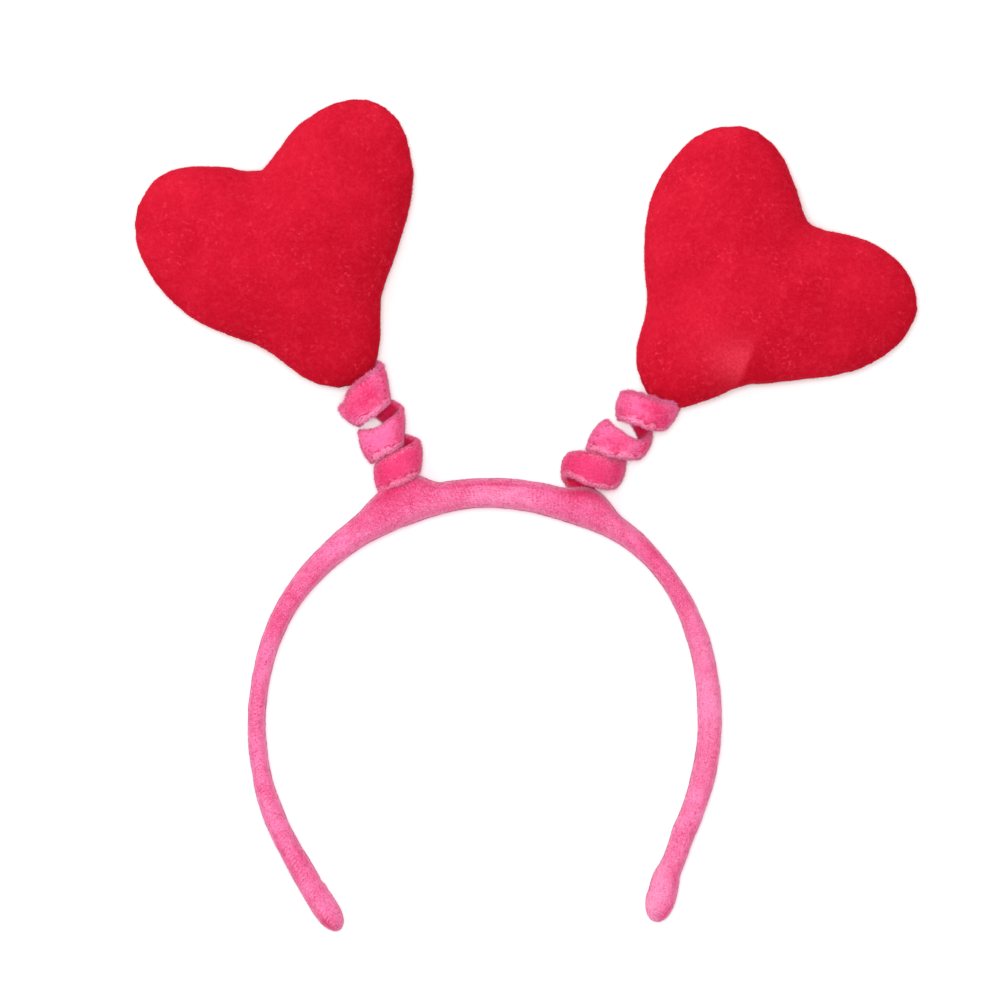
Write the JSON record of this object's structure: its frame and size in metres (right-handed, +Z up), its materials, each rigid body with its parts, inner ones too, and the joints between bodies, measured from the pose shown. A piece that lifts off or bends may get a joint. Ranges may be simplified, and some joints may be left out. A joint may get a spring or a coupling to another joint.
{
  "type": "heart headband",
  "caption": "Padded velour headband with stuffed plush hearts bobbing on velour-covered coil springs, worn over the crown of the head.",
  "frame": {"origin": "on the surface that the headband lies on, under the middle of its bounding box", "axes": "+X across the band towards its right leg as seen from above, +Y from the band's ends towards the hearts, +Z up, square to the plane of the band's loop"},
  "size_m": [0.2312, 0.246, 0.0265],
  "materials": {
    "pink_velour": "soft matte velour with a frosted pile",
    "red_plush": "matte short brushed plush"
  },
  "bodies": {
    "root": {"band": "pink_velour", "spring_left": "pink_velour", "spring_right": "pink_velour", "heart_left": "red_plush", "heart_right": "red_plush"}
  },
  "joints": []
}
